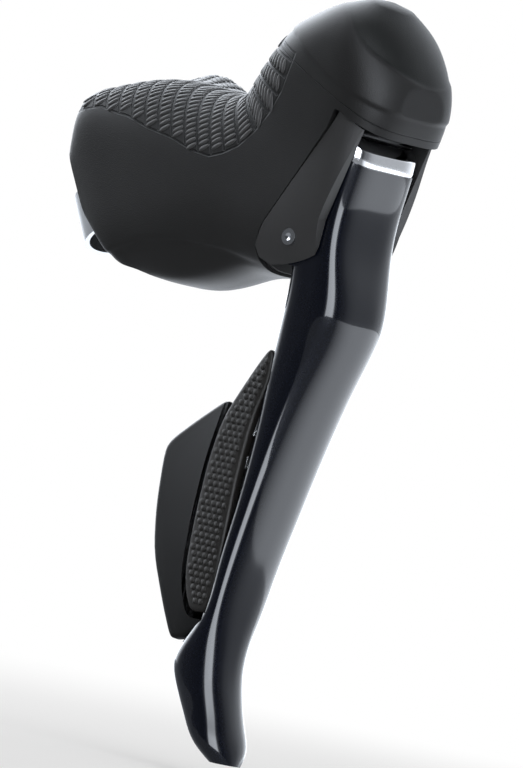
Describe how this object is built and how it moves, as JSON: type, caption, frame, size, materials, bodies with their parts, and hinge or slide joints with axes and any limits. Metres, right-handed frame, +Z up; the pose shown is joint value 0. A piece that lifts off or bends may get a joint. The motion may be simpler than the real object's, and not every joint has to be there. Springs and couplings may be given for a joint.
{
  "type": "brake shift lever",
  "caption": "Drop-bar brake and electronic shift lever: rubber hood on a bracket that clamps to the handlebar, pivoting brake blade and two shift buttons behind it.",
  "frame": {"origin": "centre of the handlebar clamp, on the handlebar's axis", "axes": "+X forward along the hood, +Z up along the lever, +Y towards the bicycle's centre; the handlebar's axis leans back by 31 degrees from +Z"},
  "size_m": [0.0962, 0.0389, 0.185],
  "materials": {
    "bracket_plastic": "glass-filled resin, satin black",
    "hood_rubber": "moulded matte black rubber with ribbed grip areas",
    "steel": "zinc-plated steel",
    "black_steel": "black oxide steel",
    "bright_steel": "polished stainless steel",
    "aluminium": "plain machined",
    "switch_plastic": "moulded black",
    "seal_rubber": "soft black",
    "blade_paint": "deep blue-black gloss paint on cast aluminium",
    "chrome_trim": "polished plating",
    "bush_bronze": "sintered",
    "board_green": "circuit board lacquer",
    "grip_plastic": "dimpled grip surface",
    "button_plastic": "smooth satin"
  },
  "bodies": {
    "bracket": {"bracket_body": "bracket_plastic", "hood_cover": "hood_rubber", "clamp_band": "steel", "clamp_nut": "steel", "clamp_bolt": "black_steel", "lever_axle": "bright_steel", "axle_clip": "steel", "casing_seat": "aluminium", "junction_box": "switch_plastic", "port_plugs": "seal_rubber", "box_screws": "black_steel", "top_switch_housing": "switch_plastic", "stop_pad": "seal_rubber", "return_spring": "steel"},
    "lever": {"lever_blade": "blade_paint", "top_trim": "chrome_trim", "trim_screw": "black_steel", "pivot_bushes": "bush_bronze", "switch_housing": "switch_plastic", "housing_screws": "black_steel", "switch_board": "board_green", "dome_switches": "bright_steel", "switch_seal": "seal_rubber", "button_pin": "bright_steel"},
    "hook": {"cable_hook": "aluminium"},
    "reach_screw": {"reach_screw": "black_steel"},
    "front_button": {"front_button": "grip_plastic"},
    "rear_button": {"rear_button": "button_plastic"},
    "top_button": {"top_button": "switch_plastic"}
  },
  "joints": [
    {"name": "lever_pivot", "type": "hinge", "parent": "bracket", "child": "lever", "pos_m": [0.0648, 0, -0.0026], "axis": [0, 1, 0], "range_deg": [0, 28], "stiffness_Nm_per_rad": 0.2, "springref_deg": -28.65, "deforming": ["return_spring"]},
    {"name": "hook_swivel", "type": "hinge", "parent": "lever", "child": "hook", "pos_m": [0.067, 0, 0.0098], "axis": [0, 1, 0], "range_deg": [-28, 0]},
    {"name": "reach_screw_turn", "type": "hinge", "parent": "lever", "child": "reach_screw", "pos_m": [0.0615, 0, 0.0186], "axis": [1, 0, 0], "range_deg": [-720, 720]},
    {"name": "front_button_press", "type": "hinge", "parent": "lever", "child": "front_button", "pos_m": [0.0622, -0.00822, -0.04505], "axis": [0, -0.0941, -0.9956], "range_deg": [0, 3], "stiffness_Nm_per_rad": 0.5, "springref_deg": -1.15},
    {"name": "rear_button_press", "type": "hinge", "parent": "lever", "child": "rear_button", "pos_m": [0.0622, -0.00822, -0.04505], "axis": [0, -0.0941, -0.9956], "range_deg": [0, 3.5], "stiffness_Nm_per_rad": 0.5, "springref_deg": -1.15},
    {"name": "top_button_press", "type": "slide", "parent": "bracket", "child": "top_button", "axis": [-0.8746, 0, -0.4848], "range_m": [0, 0.0006], "stiffness_N_per_m": 800, "springref_m": -0.0002}
  ],
  "couplings": [
    {"joint": "hook_swivel", "follows": "lever_pivot", "ratio": -1}
  ]
}
